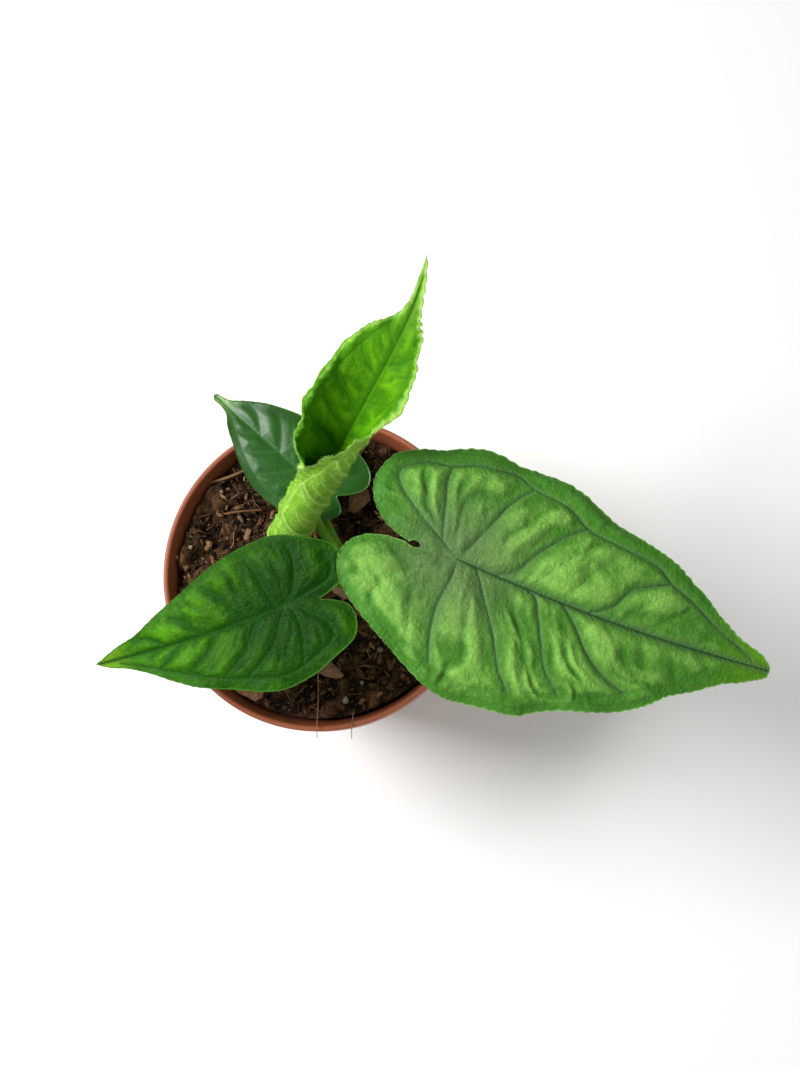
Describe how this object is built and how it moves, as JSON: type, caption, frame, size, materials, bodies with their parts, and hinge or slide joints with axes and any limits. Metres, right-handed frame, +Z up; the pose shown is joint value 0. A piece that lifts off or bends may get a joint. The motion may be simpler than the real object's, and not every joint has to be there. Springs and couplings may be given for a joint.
{
  "type": "potted plant",
  "caption": "Young potted alocasia olanii: broad quilted arrowhead leaves on fleshy petioles and a half unrolled new leaf, in a terracotta-coloured nursery pot",
  "frame": {"origin": "centre of the pot's underside, on the surface the pot stands on", "axes": "+Z up along the pot's axis, +X towards the side the largest leaf reaches over, +Y towards the side of the smallest leaf"},
  "size_m": [0.182, 0.1073, 0.158],
  "materials": {
    "pot": "satin",
    "soil": "matte",
    "rootstock": "matte",
    "bark": "matte",
    "leaf_large": "satin",
    "leaf_low": "satin",
    "leaf_back": "gloss",
    "leaf_new": "satin",
    "petiole": "satin"
  },
  "bodies": {
    "root": {"pot": "pot", "soil": "soil", "rootstock": "rootstock", "bark_chip_rim": "bark", "bark_chip_front": "bark", "bark_chip_back": "bark", "leaf_large_blade": "leaf_large", "leaf_large_petiole": "petiole", "leaf_low_blade": "leaf_low", "leaf_low_petiole": "petiole", "leaf_back_blade": "leaf_back", "leaf_back_petiole": "petiole", "leaf_new_blade": "leaf_new", "leaf_new_petiole": "petiole"}
  },
  "joints": []
}
